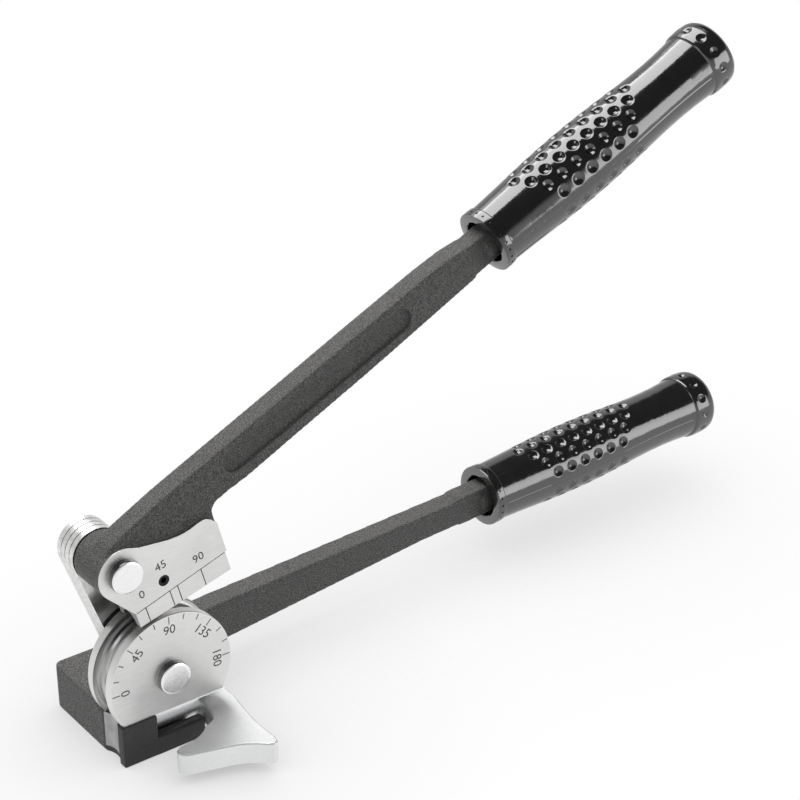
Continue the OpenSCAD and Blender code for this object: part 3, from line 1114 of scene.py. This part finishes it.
def link_plate(number):
    low = Vector((0, 0, -BEND_RADIUS))
    high = Vector((UPPER_PIN[0], 0, UPPER_PIN[1]))
    front = LINKS_FRONT + number * LINK_THICKNESS
    bores = [(low.x, low.z, BUSH_RADIUS + FIT), (high.x, high.z, PIN_RADIUS + FIT)]
    steps = round_ended(low, high, BOSS_RADIUS - LINK_MARGIN, 28)
    plate = slab(steps, front + LINK_GAP, front + LINK_THICKNESS - LINK_GAP, bores)
    soften(plate, LINK_EASE, 2)
    return plate


for number in range(LINK_COUNT):
    piece(
        f"link_leaf_{number + 1}",
        link_plate(number),
        [ZINC_PLATE, ZINC_FACE_PAINTED_SHADE],
        "link",
        [f"link_plate_{number + 1}"],
        place=SHOE_PLACE,
        # Flat faces take the darker copy of the zinc: painted shade.
        paint=lambda face: int(abs(face.normal.y) > 0.95),
    )


# Latch: barrel and fish-tail wing
WING_OUTLINE = [
    (12.2, BARREL[0]),
    (12.2, -8.9),
    (11.5, -12.4),
    (10.6, -15.4),
    (9.5, -17.0),
    (7.3, -18.1),
    (5.3, -19.0),
    (3.5, -20.6),
    (1.2, -22.0),
    (-1.2, -22.9),
    (-4.4, -23.2),
    (-7.5, -23.6),
    (-9.5, -24.8),
    (-10.2, -26.6),
    (-9.6, -28.4),
    (-8.2, -29.5),
    (-5, -30.4),
    (-1.6, -31.4),
    (1.8, -32.4),
    (5, -33.3),
    (8, -34.3),
    (11, -35.7),
    (14, -37.8),
    (16.6, -40.2),
    (18.9, -41.5),
    (20.6, -40.6),
    (21.3, -38),
    (21.2, -34.5),
    (21.0, -31),
    (21.1, -26),
    (21.6, -21.4),
    (22.3, -16.5),
    (23.0, -12.5),
    (23.5, -9),
    (23.5, BARREL[0]),
]
WING_EASE = 0.6
BARREL_BEVEL = 0.5
BARREL_BORE = 2.55
BARREL_CAP = 4.0


def latch_wing():
    lay = Matrix.Translation((0, 0, WING_BOTTOM + WING_THICKNESS)) @ Matrix.Rotation(-QUARTER_TURN, 4, "X")
    wing = moved(slab(WING_OUTLINE, 0, WING_THICKNESS), lay)
    soften(wing, WING_EASE, 3)
    return wing


def latch_barrel():
    """A tube along X, closed at its right end."""
    start, end = BARREL_SPAN
    barrel = turned(
        [
            (BARREL_BORE, start),
            (BARREL_RADIUS - BARREL_BEVEL, start),
            (BARREL_RADIUS, start + BARREL_BEVEL),
            (BARREL_RADIUS, end - BARREL_BEVEL),
            (BARREL_RADIUS - BARREL_BEVEL, end),
            (0, end),
            (0, end - BARREL_CAP),
            (BARREL_BORE, end - BARREL_CAP),
            (BARREL_BORE, start),
        ]
    )
    lay = Matrix.Translation((0, *BARREL)) @ Matrix.Rotation(-QUARTER_TURN, 4, "Z")
    return moved(barrel, lay)


latch = joined(latch_wing(), latch_barrel())
piece("latch_cast", latch, [LATCH_METAL], "thumb_latch", ["latch"], sharp=40)


# Grips: collar with fine holes, dimpled skin, end flange and mould seam
GRIP_BODY = [
    (11.72, 3.9),
    (11.7, 4.6),
    (11.82, 8),
    (12.05, 14),
    (12.4, 21),
    (12.8, 29),
    (13.08, 37),
    (13.18, 45),
    (13.15, 52),
    (12.95, 60),
    (12.6, 68),
    (12.15, 77),
    (11.9, 84),
    (11.85, 91),
    (12.0, 97),
    (12.3, 102),
    (12.5, 105.0),
    (12.55, 105.9),
    (12.95, 106.15),
    (13.2, 106.7),
    (13.35, 108),
    (13.4, 110),
    (13.35, 112.6),
    (13.15, 114.4),
    (12.75, 115.6),
    (12.0, 116.6),
    (10.3, 117.4),
    (7.5, 117.95),
    (4, 118.2),
    (0, 118.35),
]
LINER_RADIUS = 10.8
LINER_END = 90.0
SKIN_LIP = 4.6
SKIN_BACK = 105.5
SKIN_GAP = 0.1
SKIN_STEP = 0.4
SKIN_PARTS = 216
SMOOTH_SPAN = (5, 104)
SEAM_SPAN = (4.6, 105)
SEAM_DEPTH = 0.14
COLLAR_RADIUS = 12.2
COLLAR_LENGTH = 4.1
COLLAR_PARTS = 96
COLLAR_HOLES = 24
COLLAR_HOLE_PLACE = 1.9
COLLAR_HOLE_TURN = -0.8
COLLAR_HOLE = [(0, -0.5), (0.3, -0.45), (0.5, 0), (0.62, 0.3), (0, 0.3)]
RIM_EASE = 0.08
DIMPLE_PITCH = 6.98
DIMPLE_MIDDLE = 48.1
DIMPLE_ROW_ANGLE = 23.3
DIMPLE_SIDE_ROWS = 3
DIMPLES_IN_MIDDLE_ROW = 9
PANEL_DIMPLE = (2.19, 1.1)
FLANGE_DIMPLE = (1.7, 0.8)
FLANGE_DIMPLE_PLACE = 110.2
FLANGE_DIMPLES = 12
FLANGE_DIMPLE_TURN = -4
DIMPLED_RADIUS = 9
ROW_REACH = 3


def grip_collar():
    """The liner round the tang with the collar at its mouth."""
    bore = TANG_RADIUS + FIT
    collar = turned(
        [
            (bore, LINER_END),
            (bore, MOUTH_DEPTH),
            (MOUTH_RADIUS, MOUTH_DEPTH),
            (MOUTH_RADIUS, 0.3),
            (MOUTH_RADIUS + 0.3, 0),
            (COLLAR_RADIUS - 0.3, 0),
            (COLLAR_RADIUS - 0.08, 0.1),
            (COLLAR_RADIUS, 0.4),
            (COLLAR_RADIUS, COLLAR_LENGTH - 0.5),
            (COLLAR_RADIUS - 0.08, COLLAR_LENGTH - 0.2),
            (COLLAR_RADIUS - 0.3, COLLAR_LENGTH),
            (COLLAR_RADIUS - 0.9, COLLAR_LENGTH),
            (LINER_RADIUS, SKIN_LIP),
            (LINER_RADIUS, LINER_END),
            (bore, LINER_END),
        ],
        "Z",
        COLLAR_PARTS,
    )
    out_from_axis = Matrix.Rotation(QUARTER_TURN, 4, "Y")
    stand = Matrix.Translation((COLLAR_RADIUS, 0, COLLAR_HOLE_PLACE)) @ out_from_axis
    holes = []
    for number in range(COLLAR_HOLES):
        turn = radians(number * 360 / COLLAR_HOLES + COLLAR_HOLE_TURN)
        holes.append(moved(turned(COLLAR_HOLE, "Z", 10), Matrix.Rotation(turn, 4, "Z") @ stand))
    return bored(collar, [joined(*holes)])


def dimple_places():
    """Places of all dimples on the skin: distance along, angle, radius and depth."""
    places = []
    for top in (0, 180):
        for row in range(-DIMPLE_SIDE_ROWS, DIMPLE_SIDE_ROWS + 1):
            count = DIMPLES_IN_MIDDLE_ROW - abs(row)
            for number in range(count):
                along = DIMPLE_MIDDLE + (number - (count - 1) / 2) * DIMPLE_PITCH
                places.append((along, radians(top + row * DIMPLE_ROW_ANGLE), *PANEL_DIMPLE))
    for number in range(FLANGE_DIMPLES):
        turn = radians(number * 360 / FLANGE_DIMPLES + FLANGE_DIMPLE_TURN)
        places.append((FLANGE_DIMPLE_PLACE, turn, *FLANGE_DIMPLE))
    return places


def dimple_sink(height, angle, reach, dimples):
    """How far the dimples near a point of the skin sink it; their rims are eased."""
    sink = 0.0
    for along, turn, radius, depth in dimples:
        apart = (angle - turn + pi) % FULL_TURN - pi
        away = (height - along) ** 2 + (reach * apart) ** 2
        if away < (radius + 1) ** 2:
            bowl = depth * (away / radius**2 - 1)
            sink += RIM_EASE * log(1 + exp(-bowl / RIM_EASE))
    return sink


def plain_skin():
    """The skin before its dimples: the body's profile in short steps, smoothed along its length."""
    inside = LINER_RADIUS + SKIN_GAP
    profile = [(0, SKIN_BACK), (inside, SKIN_BACK), (inside, SKIN_LIP), GRIP_BODY[0]]
    for (r0, g0), (r1, g1) in zip(GRIP_BODY, GRIP_BODY[1:]):
        parts = max(1, round(Vector((r1 - r0, g1 - g0)).length / SKIN_STEP))
        profile += [(r0 + (r1 - r0) * k / parts, g0 + (g1 - g0) * k / parts) for k in range(1, parts + 1)]
    skin = turned(profile, "Z", SKIN_PARTS)
    bmesh.ops.smooth_vert(
        skin,
        verts=[v for v in skin.verts if SMOOTH_SPAN[0] < v.co.z < SMOOTH_SPAN[1]],
        factor=0.5,
        use_axis_x=True,
        use_axis_y=True,
        use_axis_z=False,
    )
    return skin


def grip_skin():
    skin = plain_skin()
    rows = {}
    for place in dimple_places():
        rows.setdefault(round(place[0]), []).append(place)
    seam_column = FULL_TURN / SKIN_PARTS / 2
    for vert in skin.verts:
        reach = Vector((vert.co.x, vert.co.y)).length
        if reach < DIMPLED_RADIUS:
            continue
        height, angle = vert.co.z, atan2(vert.co.y, vert.co.x)
        near = range(round(height) - ROW_REACH, round(height) + ROW_REACH + 1)
        dimples = [place for key in near for place in rows.get(key, ())]
        sink = dimple_sink(height, angle, reach, dimples)
        if SEAM_SPAN[0] < height < SEAM_SPAN[1] and abs(abs(angle) - QUARTER_TURN) < seam_column:
            sink += SEAM_DEPTH
        shrink = 1 - sink / reach
        vert.co.x *= shrink
        vert.co.y *= shrink
    return skin


for label, body, node, place in (
    ("lower_grip", "form", "form_grip", LOWER_AXIS),
    ("upper_grip", "shoe_lever", "shoe_grip", UPPER_AXIS),
):
    piece(
        label,
        joined(grip_collar(), grip_skin()),
        [GRIP_VINYL, CUT_END],
        body,
        [node],
        place=place,
        sharp=40,
        paint=lambda face: int(face.calc_center_median().z < 0.2 and abs(face.normal.z) > 0.8),
        flat=False,
    )


# Nodes that keep their CAD shape and only take a material
for node, material in (
    ("wheel_screws", BLACK_STEEL),
    ("wheel_washer", ZINC_PLATE),
    ("wheel_pin_washer", ZINC_PLATE),
    ("wheel_pin_ring", BLACK_STEEL),
    ("latch_pin", PIN_STEEL),
    ("link_bush", BRONZE),
    ("link_pin_washer", ZINC_PLATE),
    ("link_pin_ring", BLACK_STEEL),
    ("handle_bush", BRONZE),
    ("shoe_screw", BLACK_STEEL),
    ("latch_screw", BLACK_STEEL),
):
    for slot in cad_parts[node].material_slots:
        slot.material = material


# Floor, light and camera, in metres
FLOOR_HALF = 6
FLOOR_TONE, FLOOR_MIRRORED_TONE = 0.45, 0.95
FLOOR_WHITE_SHARE = 0.78
SHADOW_REACH = 0.12
SHADOW_TONE = 0.45
WALL_BRIGHT, WALL_DIM = 0.7, 0.08
WALL_FADE = (0.24, 0.42)
WALL_LEAN = -0.5
FILL_LIGHT = 0.16
WHITE = (1, 1, 1, 1)
OBJECT_MIDDLE = (0.1, 0.0, 0.08)
CAMERA_LENS = 95.3
CAMERA_PLACE = (-0.3003, -0.5335, 0.4355)
CAMERA_BACKWARD = (-0.5388, -0.7130, 0.4487)


def seen_rays(tree):
    """Masks of the camera's own rays, and of those together with mirrored ones."""
    path = add(tree, "ShaderNodeLightPath").outputs
    camera = path["Is Camera Ray"]
    mirrored = maths(tree, "MAXIMUM", path["Is Glossy Ray"], path["Is Transmission Ray"])
    return camera, maths(tree, "MAXIMUM", camera, mirrored)


def mix_shaders(tree, share, first, second):
    return add(tree, "ShaderNodeMixShader", {0: share, 1: first, 2: second}).outputs["Shader"]


def plain_floor():
    """A matte floor that the camera looks through to the white world, darkened by what stands over it.

    So a lever that swings below it stays in view.
    """
    bm = bmesh.new()
    bmesh.ops.create_grid(bm, x_segments=1, y_segments=1, size=FLOOR_HALF)
    floor = as_object("floor", bm)
    material = bpy.data.materials.new("pale_floor")
    material.use_nodes = True
    tree = material.node_tree
    tree.nodes.clear()
    out = add(tree, "ShaderNodeOutputMaterial")
    camera, seen = seen_rays(tree)
    white = add(tree, "ShaderNodeEmission", {"Color": WHITE, "Strength": 1.0}).outputs["Emission"]
    tone = blend_colours(tree, seen, grey(FLOOR_TONE), grey(FLOOR_MIRRORED_TONE))
    matte = add(tree, "ShaderNodeBsdfDiffuse", {"Color": tone}).outputs["BSDF"]
    solid = mix_shaders(tree, maths(tree, "MULTIPLY", seen, FLOOR_WHITE_SHARE), matte, white)
    cover = add(tree, "ShaderNodeAmbientOcclusion", {"Distance": SHADOW_REACH}, samples=16)
    shade = blend_colours(tree, cover.outputs["AO"], grey(SHADOW_TONE), grey(1))
    shaded = add(tree, "ShaderNodeBsdfTransparent", {"Color": shade}).outputs["BSDF"]
    clear = add(tree, "ShaderNodeBsdfTransparent").outputs["BSDF"]
    from_below = add(tree, "ShaderNodeNewGeometry").outputs["Backfacing"]
    surface = mix_shaders(tree, from_below, mix_shaders(tree, camera, solid, shaded), clear)
    tree.links.new(surface, out.inputs["Surface"])
    floor.data.materials.append(material)


def studio_world():
    """White for the camera, a wall that fades upwards for mirrors and a low fill for the rest."""
    world = bpy.data.worlds.new("studio")
    bpy.context.scene.world = world
    world.use_nodes = True
    tree = world.node_tree
    tree.nodes.clear()
    out = add(tree, "ShaderNodeOutputWorld")
    camera, seen = seen_rays(tree)
    toward = add(tree, "ShaderNodeTexCoord").outputs["Generated"]
    compass = add(tree, "ShaderNodeSeparateXYZ", {"Vector": toward}).outputs
    behind = maths(tree, "MAXIMUM", compass["Y"], 0.0)
    rise = maths(tree, "ADD", compass["Z"], maths(tree, "MULTIPLY", behind, WALL_LEAN))
    wall = span(tree, rise, WALL_BRIGHT, WALL_DIM, *WALL_FADE)
    strength = span(tree, camera, span(tree, seen, FILL_LIGHT, wall), 1.0)
    back = add(tree, "ShaderNodeBackground", {"Color": WHITE, "Strength": strength})
    tree.links.new(back.outputs["Background"], out.inputs["Surface"])


def softbox(name, place, width, height, power):
    lamp = bpy.data.lights.new(name, "AREA")
    lamp.shape = "RECTANGLE"
    lamp.size = width
    lamp.size_y = height
    lamp.energy = power
    holder = bpy.data.objects.new(name, lamp)
    holder.location = place
    holder.rotation_euler = (Vector(OBJECT_MIDDLE) - Vector(place)).to_track_quat("-Z", "Y").to_euler()
    bpy.context.scene.collection.objects.link(holder)


def bench_camera():
    """The photo's viewpoint: upright, looking against CAMERA_BACKWARD."""
    lens = bpy.data.cameras.new("camera")
    lens.lens = CAMERA_LENS
    lens.sensor_width = 36
    lens.clip_start = 0.01
    eye = bpy.data.objects.new("camera", lens)
    back = Vector(CAMERA_BACKWARD).normalized()
    right = Vector((0, 0, 1)).cross(back).normalized()
    turn = Matrix((right, back.cross(right), back)).transposed().to_4x4()
    eye.matrix_world = Matrix.Translation(CAMERA_PLACE) @ turn
    bpy.context.scene.collection.objects.link(eye)
    bpy.context.scene.camera = eye


plain_floor()
studio_world()
softbox("overhead_box", (0.12, 0.45, 1.2), width=0.85, height=0.95, power=12)
softbox("front_box", (0.95, -1.05, 0.3), width=0.7, height=0.7, power=4.3)
softbox("left_box", (-1.1, -0.35, 0.8), width=0.5, height=0.5, power=1.7)
softbox("back_box", (0.1, 1.2, 1.25), width=1.0, height=0.6, power=2.4)
bench_camera()
bpy.context.scene.view_settings.view_transform = "Standard"
